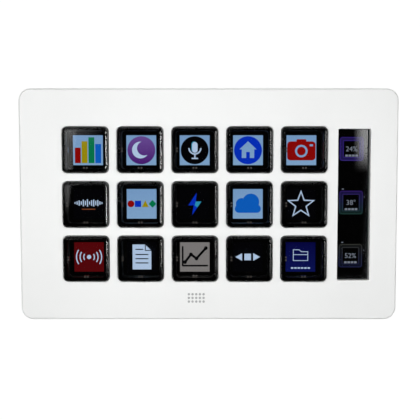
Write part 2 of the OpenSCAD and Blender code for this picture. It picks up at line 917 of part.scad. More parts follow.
// A foot with a rounded rim on the side that it stands on.
module soft_foot() {
    rim = min(0.5, foot_proud / 2);
    rotate_extrude() {
        translate([0, rim])
            square([foot_r, foot_proud + foot_recess - rim]);
        square([foot_r - rim, rim + seat]);
        translate([foot_r - rim, rim])
            intersection() {
                circle(rim);
                translate([0, -rim])
                    square([rim, rim + seat]);
            }
    }
}

// ---- Stand ----

module stand_flap() {
    tip_y = hinge_y - flap_l;
    flap_z = z_back + flap_inset;
    color("#e9eae9")
        difference() {
            union() {
                translate([0, 0, flap_z])
                    linear_extrude(flap_t) {
                        round_box(-flap_w / 2, tip_y, flap_w / 2, tip_y + 2 * flap_r + 2, flap_r);
                        translate([-flap_w / 2, tip_y + flap_r])
                            square([flap_w, flap_l - flap_r]);
                    }
                translate([0, hinge_y, hinge_z])
                    rotate([0, 90, 0])
                        cylinder(h = flap_w, r = barrel_r, center = true);
                for (x = [-flap_w / 4, flap_w / 4])
                    translate([x, hinge_y, hinge_z])
                        rotate([90, 0, 90])
                            linear_extrude(heel_w, center = true)
                                rotate(heel_turn)
                                    polygon([[0, 0], [heel_root, -heel_root], [heel_r, 0], [heel_root, heel_root]]);
            }
            for (s = [-1, 1])
                translate([s * flap_w / 2, hinge_y, hinge_z])
                    rotate([0, 90, 0])
                        cylinder(h = 2 * (pin_in_flap + slack), r = pin_r + running, center = true);
            translate([-pad_w / 2, tip_y - past, flap_z - past])
                cube([pad_w, pad_l + past, pad_t + past]);
        }
}

module stand_pins() {
    length = pin_in_flap + flap_gap + lug_t;
    color("#9ea1a4")
        for (s = [-1, 1])
            translate([s * (pocket_w / 2 + lug_t - length / 2), hinge_y, hinge_z])
                rotate([0, 90, 0])
                    cylinder(h = length, r = pin_r, center = true);
}

module stand_pad() {
    color("#2b2c2e")
        translate([-pad_w / 2 + seat, hinge_y - flap_l, z_back + flap_inset])
            cube([pad_w - 2 * seat, pad_l, pad_t]);
}

// ---- Assembly ----

front_case();
strip_window();
key_grid();
for (r = rows, c = cols) {
    key_cap(c, r);
    key_skirt(c, r);
}
dome_mat();
contact_board();
screen_gasket();
lcd_glass();
lcd_backlight();
screen_carrier();
carrier_screws();
main_board();
board_chips();
ribbon_connectors();
screen_ribbon();
key_ribbon();
usb_socket_shell();
usb_socket_tongue();
board_screws();
back_cover();
case_screws();
rubber_feet();
stand_flap();
stand_pins();
stand_pad();
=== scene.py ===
# %% [markdown]
# # A desk key pad, dressed around its construction model
#
# The pad is a white moulded case with fifteen clear keys over one screen and a tall display
# strip beside them. The construction model gives every solid its place, so this lesson only
# adds what a solid can't show: softened edges, finishes, pictures on the screen, and light.
# Blender works in metres and the drawings of such pads are in millimetres, so one factor,
# `MM`, turns one into the other wherever a size is written down.

import json
import math

import bmesh
import bpy
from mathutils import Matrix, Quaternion, Vector

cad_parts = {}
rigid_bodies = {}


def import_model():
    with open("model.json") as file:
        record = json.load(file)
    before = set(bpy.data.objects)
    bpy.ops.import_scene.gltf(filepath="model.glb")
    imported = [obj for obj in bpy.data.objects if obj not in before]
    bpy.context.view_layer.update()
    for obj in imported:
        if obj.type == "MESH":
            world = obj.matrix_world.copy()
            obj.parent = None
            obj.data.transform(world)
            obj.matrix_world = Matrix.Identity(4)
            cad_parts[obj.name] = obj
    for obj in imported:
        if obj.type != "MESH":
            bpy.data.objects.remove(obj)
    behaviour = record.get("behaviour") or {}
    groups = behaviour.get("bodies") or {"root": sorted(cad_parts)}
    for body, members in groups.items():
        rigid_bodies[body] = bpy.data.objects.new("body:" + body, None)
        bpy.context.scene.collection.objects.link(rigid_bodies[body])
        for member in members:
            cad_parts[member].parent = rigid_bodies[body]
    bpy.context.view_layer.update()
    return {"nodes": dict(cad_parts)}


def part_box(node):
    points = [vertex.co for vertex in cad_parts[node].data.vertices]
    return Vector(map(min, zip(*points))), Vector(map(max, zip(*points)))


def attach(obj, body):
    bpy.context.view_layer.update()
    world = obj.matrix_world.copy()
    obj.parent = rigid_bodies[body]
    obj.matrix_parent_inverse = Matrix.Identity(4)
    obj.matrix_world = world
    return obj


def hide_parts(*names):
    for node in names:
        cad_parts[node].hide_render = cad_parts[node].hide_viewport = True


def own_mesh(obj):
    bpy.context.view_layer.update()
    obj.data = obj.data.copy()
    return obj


MM = 0.001
for old in list(bpy.data.objects):
    bpy.data.objects.remove(old)
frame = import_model()

# %% [markdown]
# ## Places
#
# Nothing is placed by guesswork. Each height and each centre is read from the box of the node
# that it belongs to, so the pictures stay on the glass and the marks on their keys when the
# construction model changes.

# %% Read the places that the pieces share
ROWS, COLS = range(1, 4), range(1, 6)


def box_mm(node):
    low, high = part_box(node)
    return low / MM, high / MM


def middle(node):
    low, high = box_mm(node)
    return (low + high) / 2


key_centre = {(r, c): middle(f"key_r{r}c{c}_cap") for r in ROWS for c in COLS}
FACE_Z = box_mm("front_case")[1].z
GLASS_Z = box_mm("lcd_glass")[1].z
strip = middle("strip_window")
print("face at", round(FACE_Z, 2), "mm, glass at", round(GLASS_Z, 2), "mm")

# %% [markdown]
# ## One way to write a finish
#
# A finish is a small graph of nodes that ends in the Principled shader. Two helpers keep the
# graphs short: one turns a colour as it is written on a paint card into the linear values
# that a shader counts in, and one adds any node with its settings, its values and its links.

# %% Colour and node helpers


def colour(code):
    """A hex colour as linear red, green, blue and alpha."""
    parts = [int(code[i : i + 2], 16) / 255 for i in (1, 3, 5)]
    linear = [p / 12.92 if p <= 0.04045 else ((p + 0.055) / 1.055) ** 2.4 for p in parts]
    return (*linear, 1.0)


MATH = "ShaderNodeMath"


def add_node(tree, kind, inputs=None, **settings):
    """Adds a node. An input is a value, another node's output, or a node for its first one."""
    node = tree.nodes.new(kind)
    for name, value in settings.items():
        setattr(node, name, value)
    for name, value in (inputs or {}).items():
        if isinstance(value, bpy.types.Node):
            value = value.outputs[0]
        if isinstance(value, bpy.types.NodeSocket):
            tree.links.new(value, node.inputs[name])
        else:
            node.inputs[name].default_value = value
    return node


def new_finish(name, base, **sockets):
    """A material with one Principled shader; sockets are its constant values."""
    material = bpy.data.materials.new(name)
    material.use_nodes = True
    tree = material.node_tree
    shader = tree.nodes["Principled BSDF"]
    shader.inputs["Base Color"].default_value = colour(base)
    for key, value in sockets.items():
        shader.inputs[key.replace("_", " ")].default_value = value
    return material, tree, shader


# %% [markdown]
# Three more helpers give a finish its detail. `grain` is a bump whose lumps have a real width
# and height, and `mottle` lets a colour or a roughness drift a little, as it does on every
# moulded, plated or painted surface. `surface` puts a whole finish together and keeps it in
# `FINISH`, under the name of the slot that it is for.

# %% Grain, mottle and whole surfaces


def noise_mm(tree, size_mm, detail, stretch=(1, 1, 1)):
    """Noise on Object coordinates with lumps about size_mm wide."""
    place = add_node(tree, "ShaderNodeTexCoord").outputs["Object"]
    spread = add_node(tree, "ShaderNodeMapping", {"Vector": place, "Scale": stretch})
    lumps = {"Vector": spread, "Scale": 1 / (size_mm * MM), "Detail": detail}
    return add_node(tree, "ShaderNodeTexNoise", lumps)


def grain(tree, shader, size_mm, height_mm, detail=2.0, stretch=(1, 1, 1)):
    lumps = noise_mm(tree, size_mm, detail, stretch)
    bump = add_node(tree, "ShaderNodeBump", {"Height": lumps, "Distance": height_mm * MM})
    tree.links.new(bump.outputs["Normal"], shader.inputs["Normal"])


def mottle(tree, shader, low, high, size_mm, detail=3.0):
    """Drift of the colour between two hex codes, or of the roughness between two numbers."""
    lumps = noise_mm(tree, size_mm, detail)
    if isinstance(low, str):
        ramp = add_node(tree, "ShaderNodeValToRGB", {"Fac": lumps})
        for stop, position, code in zip(ramp.color_ramp.elements, (0.35, 0.65), (low, high)):
            stop.position, stop.color = position, colour(code)
        tree.links.new(ramp.outputs["Color"], shader.inputs["Base Color"])
    else:
        limits = {"Value": lumps, "From Min": 0.3, "From Max": 0.7, "To Min": low, "To Max": high}
        drift = add_node(tree, "ShaderNodeMapRange", limits)
        tree.links.new(drift.outputs["Result"], shader.inputs["Roughness"])


FINISH = {}


def surface(slot, name, base, bumps, *drifts, **sockets):
    """Makes a slot's finish: bumps go to grain and each of drifts to mottle."""
    material, tree, shader = new_finish(name, base, **sockets)
    if bumps:
        grain(tree, shader, *bumps)
    for drift in drifts:
        mottle(tree, shader, *drift)
    FINISH[slot] = material


# %% [markdown]
# ## The white case
#
# The case is injection-moulded ABS. The steel mould was spark-eroded, which leaves a very fine
# satin grain, so the plastic is bright and even with a broad, soft gloss. Real grain is about
# 0.05 mm wide; here it is drawn at 0.25 mm so that a close view still shows it. The back has
# the same plastic in a coarser, duller grain that hides scratches from the desk.

# %% Satin and coarse white ABS
ABS = {"IOR": 1.54}
surface(
    "shell_white", "satin_moulded_ABS_white", "#F0F1F0", (0.25, 0.004),
    ("#EFF0EF", "#F1F2F1", 30), (0.46, 0.54, 12), Roughness=0.5, **ABS
)
surface(
    "back_white", "coarse_moulded_ABS_white", "#E6E7E6", (0.4, 0.012),
    ("#E4E5E4", "#E8E9E8", 25), Roughness=0.55, **ABS
)

# %% [markdown]
# The dark plastics inside are moulded as well. What tells them apart is gloss: the key skirts
# are polished so that the ring round each picture looks deep, while the grid under the face is
# dull so that no light leaks from key to key. Connectors are glass-filled nylon, which is
# creamy and dry, and chips are epoxy with a fine grey bloom.

# %% Dark and cream plastics
surface(
    "skirt_black", "gloss_moulded_ABS_black", "#060607", (0.5, 0.003),
    (0.24, 0.36, 4), Roughness=0.3, **ABS
)
surface(
    "grid_black", "matt_moulded_ABS_black", "#101012", (0.35, 0.01),
    ("#0D0D0F", "#131316", 8), Roughness=0.6, **ABS
)
surface(
    "connector_cream", "glass_filled_nylon_cream", "#DDD6C2", (0.2, 0.006),
    ("#D8D0BB", "#E2DCCA", 1.5), Roughness=0.5, IOR=1.53
)
surface(
    "chip_black", "epoxy_chip_package_black", "#1B1B1D", (0.12, 0.005),
    ("#171719", "#202023", 2), Roughness=0.55, IOR=1.5
)
surface(
    "socket_black", "moulded_socket_tongue_black", "#161618", (0.15, 0.004),
    ("#131315", "#1A1A1D", 1), Roughness=0.45, IOR=1.5
)

# %% [markdown]
# ## Clear acrylic
#
# The key caps and the strip's pane are acrylic, polished by the mould. Light passes through
# and bends by an index of 1.49, and about four per cent is mirrored at the surface: that thin
# mirror image of the lamps is what makes a cap look like glass. Fingers leave a faint haze,
# so the roughness drifts just above zero. The pane has a breath of smoke grey in it.

# %% Clear and smoked acrylic
ACRYLIC = {"Roughness": 0.02, "IOR": 1.49, "Transmission_Weight": 1.0}
surface("cap_clear", "polished_acrylic_clear", "#FFFFFF", None, (0.0, 0.03, 6), **ACRYLIC)
surface("strip_pane", "polished_acrylic_smoke", "#E4E6EA", None, (0.0, 0.03, 8), **ACRYLIC)

# %% [markdown]
# ## Glass, film, rubber and foam
#
# The screen is black glass over a white light guide. Above it lies a grey silicone mat whose
# domes push the keys back up; silicone has a low index and a soft, dry sheen. Foam seals the
# edge, and the feet are moulded rubber: both scatter nearly all light, so they look flat.

# %% Screen stack and soft parts
surface(
    "screen_glass", "black_screen_glass", "#020203", None,
    (0.01, 0.05, 10), Roughness=0.03, IOR=1.52
)
surface(
    "light_film", "light_guide_film_white", "#E4E7E8", (0.6, 0.01),
    ("#DFE3E5", "#EAECEC", 5), Roughness=0.3, IOR=1.49
)
surface(
    "dome_rubber", "silicone_rubber_grey", "#8B8E91", (0.3, 0.006),
    ("#868A8D", "#919497", 6), Roughness=0.55, IOR=1.41, Sheen_Weight=0.15
)
surface(
    "gasket_foam", "closed_cell_foam_black", "#121213", (0.35, 0.06, 4),
    ("#0E0E0F", "#19191B", 0.8), Roughness=0.95, IOR=1.4
)
surface(
    "foot_rubber", "moulded_rubber_charcoal", "#262729", (0.3, 0.015),
    ("#222325", "#2C2D30", 3), Roughness=0.75, IOR=1.5, Sheen_Weight=0.2
)

# %% [markdown]
# ## Boards, ribbons and metal
#
# A board is woven glass cloth under green solder mask, a thin clear coat that shines. The
# ribbons are amber polyimide with copper tracks about a millimetre apart, which show as paler
# stripes. Metals take their colour from how they mirror light, so they have no IOR of their
# own here, only a roughness: low for nickel-plated screws, higher and brushed along one way
# for the zinc-plated carrier plate.

# %% Boards and ribbons
surface(
    "board_green", "solder_mask_green", "#14492F", (0.5, 0.01),
    ("#10402A", "#1A5437", 1.2, 1), Roughness=0.35, IOR=1.5, Coat_Weight=0.4, Coat_Roughness=0.15
)


def waves(tree, period_mm, way):
    """Stripes across one axis whose period is a real length."""
    place = add_node(tree, "ShaderNodeTexCoord").outputs["Object"]
    stripes = {"Vector": place, "Scale": math.pi / 10 / (period_mm * MM), "Distortion": 0.0}
    return add_node(tree, "ShaderNodeTexWave", stripes, bands_direction=way).outputs["Fac"]


TRACK_PITCH = 1.0
COATED = {"Coat_Weight": 0.3, "Coat_Roughness": 0.1}
FINISH["ribbon_amber"], tree, shader = new_finish(
    "polyimide_ribbon_amber", "#B06F24", Roughness=0.3, IOR=1.7, **COATED
)
ramp = add_node(tree, "ShaderNodeValToRGB", {"Fac": waves(tree, TRACK_PITCH, "Y")})
ramp.color_ramp.elements[0].color = colour("#8E5417")
ramp.color_ramp.elements[1].color = colour("#C58435")
tree.links.new(ramp.outputs["Color"], shader.inputs["Base Color"])
grain(tree, shader, 0.4, 0.004)

# %% Metals
BRUSHED = (1, 12, 1)
surface(
    "carrier_steel", "pressed_zinc_plated_steel", "#AEB2B5", (0.6, 0.008, 2, BRUSHED),
    ("#A3A8AC", "#BABDBF", 7), Metallic=1.0, Roughness=0.38
)
surface(
    "screw_steel", "nickel_plated_steel", "#C6C5C1", (0.2, 0.003),
    (0.2, 0.34, 0.8), Metallic=1.0, Roughness=0.25
)
surface(
    "socket_steel", "drawn_stainless_steel", "#B9BBBD", (0.15, 0.003, 2, (8, 1, 1)),
    (0.22, 0.36, 1.0), Metallic=1.0, Roughness=0.28
)
surface(
    "pin_steel", "ground_steel_pin", "#9DA0A3", (0.15, 0.003, 2, (6, 1, 1)),
    (0.22, 0.36, 1.0), Metallic=1.0, Roughness=0.3
)
print("finishes:", len(FINISH))

# %% [markdown]
# ## Dress the nodes that keep their own shape
#
# Most nodes are already right: a chip is a chip. They keep the mesh of the construction model
# and only get their finish. The imported material is named after its slot, and so it tells
# which finish a node gets.

# %% Give every carried node its finish
slot_of = {}
for name, node in frame["nodes"].items():
    slot_of[name] = node.data.materials[0].name
    node.data.materials[0] = FINISH[slot_of[name]]
print("dressed", len(slot_of), "nodes in", len(set(slot_of.values())), "finishes")

# %% [markdown]
# ## Softened edges
#
# No moulded edge is truly sharp, and a sharp one looks drawn: it catches no light. For the
# case, the back and the stand, a copy of the node's triangles is merged into one skin, its
# flat areas are joined, and a Bevel modifier rounds only the edges that turn by more than
# 35 degrees. Weighted normals then keep the flats flat. A copy is used, because the node's
# own mesh is the reference that nothing may change.

# %% Helpers that turn work into pieces


def add_object(name, mesh):
    obj = bpy.data.objects.new(name, mesh)
    bpy.context.scene.collection.objects.link(obj)
    return obj


def apply_modifiers(obj):
    """Turns an object with modifiers into one with a plain mesh."""
    made = obj.evaluated_get(bpy.context.evaluated_depsgraph_get())
    shape = bpy.data.meshes.new_from_object(made)
    obj.modifiers.clear()
    obj.data = shape
    return obj


def take(obj, name, body, slot, *nodes):
    """Names a finished piece, gives it its body and hides what it stands for; slot is not used."""
    obj.name = obj.data.name = name
    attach(obj, body)
    if nodes:
        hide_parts(*nodes)
    return obj


def to_mesh(work, name, *materials):
    mesh = bpy.data.meshes.new(name)
    work.to_mesh(mesh)
    work.free()
    for material in materials:
        mesh.materials.append(material)
    return mesh


# %% Soften the case, the back and the stand
MERGE = 1e-6
SAME_PLANE = math.radians(0.5)
SHARP = math.radians(35)


def merged(node):
    """A copy of a node's triangles with their shared corners joined."""
    work = bmesh.new()
    work.from_mesh(frame["nodes"][node].data)
    bmesh.ops.remove_doubles(work, verts=work.verts, dist=MERGE)
    return work


def softened(node, width_mm=0.0):
    """A skin with rounded edges, or, without a width, one whose facets shade as a curve."""
    work = merged(node)
    bmesh.ops.dissolve_limit(work, angle_limit=SAME_PLANE, verts=work.verts, edges=work.edges)
    for face in work.faces:
        face.smooth = True
    obj = add_object(node, to_mesh(work, node, FINISH[slot_of[node]]))
    if width_mm:
        bevel = obj.modifiers.new("soft_edges", "BEVEL")
        bevel.width, bevel.segments = width_mm * MM, 2
        bevel.limit_method, bevel.angle_limit = "ANGLE", SHARP
        bevel.use_clamp_overlap = False
    else:
        obj.data.set_sharp_from_angle(angle=SHARP)
    obj.modifiers.new("flat_flats", "WEIGHTED_NORMAL").keep_sharp = True
    return apply_modifiers(obj)


for node, body, width in (
    ("front_case", "housing", 0.18),
    ("back_cover", "housing", 0.18),
    ("stand_flap", "stand", 0.25),
):
    piece = take(softened(node, width), node + "_soft", body, slot_of[node], node)
    print(piece.name, len(piece.data.polygons), "faces")

# %% [markdown]
# ## The shoulders of the key caps
#
# A cap has a rounding of 1.5 mm round its top. The construction model cuts it into a dozen
# facets, and polished acrylic would show every one of them as a flicker in the line of light
# along the shoulder. Each cap gets a skin of the same shape, but shaded as one curve. It
# rides on its own key, because every key moves by itself.

# %% A smooth skin for every cap
for r, c in key_centre:
    cap = f"key_r{r}c{c}_cap"
    piece = take(softened(cap), cap + "_smooth", f"key_r{r}c{c}", slot_of[cap], cap)
print("one cap:", len(piece.data.polygons), "faces")

# %% [markdown]
# ## Flat shapes for the pictures
#
# A picture on the screen is made of lit pixels, so it is drawn as very thin closed prisms that
# lie on the glass, each layer a fiftieth of a millimetre above the one before. Outlines are
# lists of points in millimetres from the middle of the picture.

# %% Outlines


def arc(x, y, r, start, end, n=20):
    """Points on a circle between two angles in degrees."""
    turns = [math.radians(start + (end - start) * i / n) for i in range(n + 1)]
    return [(x + r * math.cos(a), y + r * math.sin(a)) for a in turns]


def disc(x, y, r, n=48):
    return arc(x, y, r, 0, 360, n)[:-1]


def bow(x, y, r, width, start, end):
    """Part of a ring."""
    return arc(x, y, r + width / 2, start, end) + arc(x, y, r - width / 2, end, start)


def block(x, y, w, h, r=0.0, n=6):
    """A rectangle about x, y, with rounded corners if r is given."""
    corners = ((1, 1), (-1, 1), (-1, -1), (1, -1))
    if r == 0:
        return [(x + sx * w / 2, y + sy * h / 2) for sx, sy in corners]
    points = []
    for quarter, (sx, sy) in enumerate(corners):
        at = x + sx * (w / 2 - r), y + sy * (h / 2 - r)
        points += arc(*at, r, 90 * quarter, 90 * quarter + 90, n)
    return points


def stroke(x0, y0, x1, y1, width):
    """A straight line with square ends."""
    length = math.hypot(x1 - x0, y1 - y0)
    ox, oy = -(y1 - y0) / length * width / 2, (x1 - x0) / length * width / 2
    return [(x0 + ox, y0 + oy), (x0 - ox, y0 - oy), (x1 - ox, y1 - oy), (x1 + ox, y1 + oy)]


def star(x, y, r, inner, points=5):
    turns = [math.pi / 2 + math.pi * i / points for i in range(2 * points)]
    reach = [r, inner] * points
    return [(x + d * math.cos(a), y + d * math.sin(a)) for a, d in zip(turns, reach)]


print("a rounded block has", len(block(0, 0, 2, 2, 0.5)), "points")

# %% Prisms from outlines
LAYER = 0.02


def add_prism(work, points, low, high, kind=0):
    """Adds a closed prism over an outline; all sizes are in millimetres."""
    area = sum(a[0] * b[1] - b[0] * a[1] for a, b in zip(points, points[1:] + points[:1]))
    if area < 0:
        points = points[::-1]
    rings = [[work.verts.new((x * MM, y * MM, z * MM)) for x, y in points] for z in (low, high)]
    faces = [work.faces.new(rings[0][::-1]), work.faces.new(rings[1])]
    for i in range(len(points)):
        j = (i + 1) % len(points)
        faces.append(work.faces.new((rings[0][i], rings[0][j], rings[1][j], rings[1][i])))
    for face in faces:
        face.material_index = kind


def draw(name, x, y, z, shapes):
    """One piece from (material, outline) pairs, drawn from the lowest layer up."""
    work = bmesh.new()
    kinds = []
    for layer, (material, outline) in enumerate(shapes):
        if material not in kinds:
            kinds.append(material)
        placed = [(x + px, y + py) for px, py in outline]
        add_prism(work, placed, z, z + LAYER * (layer + 1), kinds.index(material))
    return add_object(name, to_mesh(work, name, *kinds))


# %% [markdown]
# ## Lit pixels
#
# A lit pixel gives its own light. Its colour sits on the shader's emission socket, and fine
# dark lines between the pixels, 0.17 mm apart, come from two waves that only lower the
# strength. From a normal distance they melt into an even tone. A picture may also run from
# one colour at its foot to another at its head, for which the ramp reads the height on the
# screen in metres.

# %% A finish for each lit colour
PIXEL = 0.17


def lit(name, code, above=None, low_mm=0.0, high_mm=1.0):
    """Lit pixels of one colour, or of code at low_mm and above at high_mm."""
    material, tree, shader = new_finish("lit_pixels_" + name, "#020203", Roughness=0.05, IOR=1.52)
    shader.inputs["Emission Color"].default_value = colour(code)
    if above:
        place = add_node(tree, "ShaderNodeTexCoord").outputs["Object"]
        height_at = add_node(tree, "ShaderNodeSeparateXYZ", {"Vector": place}).outputs["Y"]
        limits = {"Value": height_at, "From Min": low_mm * MM, "From Max": high_mm * MM}
        share = add_node(tree, "ShaderNodeMapRange", limits)
        ramp = add_node(tree, "ShaderNodeValToRGB", {"Fac": share})
        ramp.color_ramp.elements[0].color = colour(code)
        ramp.color_ramp.elements[1].color = colour(above)
        tree.links.new(ramp.outputs["Color"], shader.inputs["Emission Color"])
    stripes = {i: waves(tree, PIXEL, way) for i, way in enumerate("XY")}
    both = add_node(tree, MATH, stripes, operation="ADD")
    dark_lines = {"Value": both, "From Max": 2.0, "To Min": 0.82, "To Max": 1.18}
    level = add_node(tree, "ShaderNodeMapRange", dark_lines)
    tree.links.new(level.outputs["Result"], shader.inputs["Emission Strength"])
    return material


def height(r, share):
    """A height on the screen: share is -1 at the foot of a tile in row r and 1 at its head."""
    return key_centre[r, 1].y + share * TILE / 2


TILE = 13.87
sky = [lit(f"pale_blue_{r}", "#7FA3C8", "#759AC4", height(r, -1), height(r, 1)) for r in ROWS]
white = lit("white", "#AFC6E2")
black = lit("black", "#010103")
red = lit("red", "#860604")
dim_red = lit("dark_red", "#520509")
yellow = lit("yellow", "#96880A")
green = lit("green", "#047248")
blue = lit("blue", "#0B5AB8")
deep_blue = lit("deep_blue", "#042EB6")
night_blue = lit("night_blue", "#0A1252", "#04053E", height(3, -1), height(3, 1))
purple = lit("purple", "#45166C", "#6A4C94", height(1, -1), height(1, 1))
cyan = lit("cyan", "#2C8FB0")
orange = lit("orange", "#7C4426")
warm_grey = lit("warm_grey", "#7B7877")
print("lit colours:", len([m for m in bpy.data.materials if m.name.startswith("lit")]))

# %% [markdown]
# ## Fifteen pictures
#
# Each key shows a tile of some 80 pixels a side, just under 14 mm wide. The tiles keep to the
# screen's own pixels, so their pitch is a trace smaller than that of the keys. The signs are
# plain ones that any such pad could carry: a chart, a moon, a microphone, a house and so on.
# Each is a list of outlines, from the lowest layer up.

# %% The signs of the top row
chart = [
    (ink, stroke(x, -6.0, x, top, 2.75))
    for ink, x, top in (
        (red, -4.75, 1.2),
        (yellow, -1.6, 4.2),
        (green, 1.6, 6.0),
        (blue, 4.75, 2.9),
    )
]
moon = [(purple, disc(0, 0, 6.5)), (white, disc(-0.4, 0.1, 3.9)), (purple, disc(1.35, 0.9, 3.35))]
microphone = [
    (black, disc(0, 0, 6.5)),
    (cyan, block(-0.25, 1.55, 2.5, 5.0, 1.24)),
    (white, block(0.1, 1.3, 2.5, 5.0, 1.24)),
    (white, bow(0.1, 1.0, 2.75, 0.6, 180, 360)),
    (white, block(0.1, -2.7, 0.6, 1.8)),
    (white, block(0.1, -3.8, 3.0, 0.6)),
]
gable = [(-4.0, 0.4), (0, 4.2), (4.0, 0.4), (2.9, 0.4), (2.9, -3.6), (-2.9, -3.6), (-2.9, 0.4)]
house = [(deep_blue, disc(0, 0, 6.5)), (sky[0], gable), (deep_blue, block(0, -2.2, 1.7, 2.8))]
camera_sign = [
    (red, block(0, -0.3, 13.2, 8.8, 1.6)),
    (red, block(0, 4.2, 4.6, 1.8, 0.5)),
    (sky[0], disc(0, -0.4, 2.9)),
    (red, disc(0, -0.4, 2.0)),
    (sky[0], block(4.6, 2.3, 1.5, 0.9)),
]

# %% The signs of the middle row
loudness = (0.7, 1.5, 2.5, 1.6, 3.1, 2.0, 3.4, 1.4, 2.6, 3.2, 1.9, 2.8, 1.5, 0.8)
sound = [(white, block(-6.3 + 0.97 * i, 0.4, 0.5, h)) for i, h in enumerate(loudness)]
sound += [(orange, block(0, -2.5, 6.2, 0.4))]
shapes = [
    (red, disc(-5.0, 0, 1.6)),
    (deep_blue, block(-1.7, 0, 2.9, 2.9)),
    (yellow, [(0.1, -1.5), (3.3, -1.5), (1.7, 1.7)]),
    (green, [(3.3, 0), (5.1, -1.85), (6.9, 0), (5.1, 1.85)]),
]
bolt = [
    (deep_blue, [(0.9, 5.2), (-3.0, -0.7), (-0.5, -0.7), (-1.2, -5.2), (3.1, 1.1), (0.5, 1.1)]),
    (cyan, [(0.5, 1.1), (3.1, 1.1), (1.2, -1.7), (0.0, -0.7)]),
]
cloud = [
    (blue, block(0, -2.3, 12.2, 3.8, 1.88)),
    (blue, disc(-2.9, 0.0, 2.7)),
    (blue, disc(1.4, 0.9, 3.9)),
]
big_star = [(white, star(0, -0.4, 6.9, 2.9)), (black, star(0, -0.4, 5.5, 2.25))]

# %% The signs of the bottom row
signal = [(white, disc(0, 0, 1.0))]
for reach in (2.5, 4.2, 5.9):
    signal += [(white, bow(0, 0, reach, 0.5, a - 34, a + 34)) for a in (0, 180)]
page = [
    (white, [(-4.4, -5.9), (4.4, -5.9), (4.4, 3.0), (1.5, 5.9), (-4.4, 5.9)]),
    (black, [(1.4, 5.9), (1.4, 2.9), (4.4, 2.9), (4.4, 3.3), (1.8, 3.3), (1.8, 5.9)]),
]
page += [(black, block(-1.2, 3.6, 3.6, 0.5))]
page += [(black, block(0, y, 6.0, 0.5)) for y in (1.2, -0.8, -2.8)]
corners = ((-4.6, -2.4), (-1.8, 1.2), (0.8, -0.7), (5.2, 4.2))
trend = [(black, block(-5.7, 0.4, 0.8, 9.4)), (black, block(0.2, -4.1, 12.0, 0.8))]
trend += [(black, stroke(*a, *b, 1.1)) for a, b in zip(corners, corners[1:])]
trend += [(black, disc(*at, 0.9, 16)) for at in corners]
transport = [
    (white, [(-5.8, 0), (-2.6, 1.8), (-2.6, -1.8)]),
    (white, block(0, 0, 3.1, 3.1)),
    (white, [(5.8, 0), (2.6, -1.8), (2.6, 1.8)]),
]


def folder_outline(grow):
    """A folder with a tab; grow moves every edge outwards."""
    side, top, lid, foot = 3.4 + grow, 3.4 + grow, 2.5 + grow, -1.7 - grow
    tab = [(-0.6 + grow / 2, top), (0.3 + grow / 2, lid)]
    return [(-side, top), *tab, (side, lid), (side, foot), (-side, foot)]


FOLDER_LINE = 0.15
folder = [(white, folder_outline(FOLDER_LINE)), (night_blue, folder_outline(-FOLDER_LINE))]
folder += [(white, block(0, 1.1, 6.8, 0.3))]
folder += [(white, block(-3.9 + 1.56 * i, -5.2, 1.1, 0.7)) for i in range(6)]

# %% Draw the pictures on the glass
PICTURES = {
    (1, 1): (sky[0], chart),
    (1, 2): (sky[0], moon),
    (1, 3): (sky[0], microphone),
    (1, 4): (sky[0], house),
    (1, 5): (sky[0], camera_sign),
    (2, 1): (black, sound),
    (2, 2): (sky[1], shapes),
    (2, 3): (black, bolt),
    (2, 4): (sky[1], cloud),
    (2, 5): (black, big_star),
    (3, 1): (dim_red, signal),
    (3, 2): (black, page),
    (3, 3): (warm_grey, trend),
    (3, 4): (black, transport),
    (3, 5): (night_blue, folder),
}
TILE_OFF = (-0.23, -0.11)
TILE_PITCH_LESS = 0.168
for (r, c), (ground, sign) in PICTURES.items():
    x = key_centre[r, c].x + TILE_OFF[0] - TILE_PITCH_LESS * (c - 3)
    y = key_centre[r, c].y + TILE_OFF[1]
    picture = draw(f"picture_r{r}c{c}", x, y, GLASS_Z, [(ground, block(0, 0, TILE, TILE)), *sign])
    take(picture, picture.name, "housing", "screen_glass")
print("drew", len(PICTURES), "pictures")

# %% [markdown]
# ## The strip's three dials
#
# Beside the keys, the same screen shows three readings in glowing frames. A frame is a band
# between two rounded squares, brighter along both edges, and its colour changes from foot to
# head. A prism needs an outline without a hole, so a band is drawn as two halves. The figures
# come from a plain font and are turned into a mesh before they are placed.

# %% Glowing frames


def band(outer, inner, r):
    """The area between two rounded squares, as two halves."""
    out = block(0, 0, outer, outer, r)
    ins = block(0, 0, inner, inner, max(r - (outer - inner) / 2, 0.1))
    half = len(out) // 2
    upper = out[: half + 1] + ins[: half + 1][::-1]
    return [upper, out[half:] + out[:1] + ins[:1] + ins[half:][::-1]]


grey = lit("grey", "#868D98")
DIAL = 11.0
DIAL_RAISE = 0.5
DIALS = (
    ("violet", "24%", ("#3C2C82", "#35227A"), ("#231C52", "#23194E")),
    ("green", "38°", ("#24423A", "#37206A"), ("#11261E", "#1C1246")),
    ("dusk", "52%", ("#22254A", "#3A3B34"), ("#0C1226", "#161816")),
)
for r, (name, _, edge_colours, haze_colours) in zip(ROWS, DIALS):
    x, y = strip.x, key_centre[r, 1].y + DIAL_RAISE
    edge = lit(name + "_edge", *edge_colours, y - DIAL / 2, y + DIAL / 2)
    haze = lit(name + "_haze", *haze_colours, y - DIAL / 2, y + DIAL / 2)
    parts = [(haze, part) for part in band(DIAL, 7.8, 1.2)]
    parts += [(edge, part) for part in band(DIAL, DIAL - 0.8, 1.2) + band(8.1, 7.4, 0.6)]
    parts += [(grey, block(-2.3 + 1.55 * i, -3.1, 1.15, 0.9)) for i in range(4)]
    if r > 1:
        parts += [(grey, block(-3.9, 6.3, 0.8, 0.4)), (grey, block(6.2, 2.6, 0.4, 0.4))]
    dial = draw("dial_" + name, x, y, GLASS_Z, parts)
    take(dial, dial.name, "housing", "screen_glass")

# %% Figures of the dials
CAPITAL_SHARE = 0.7


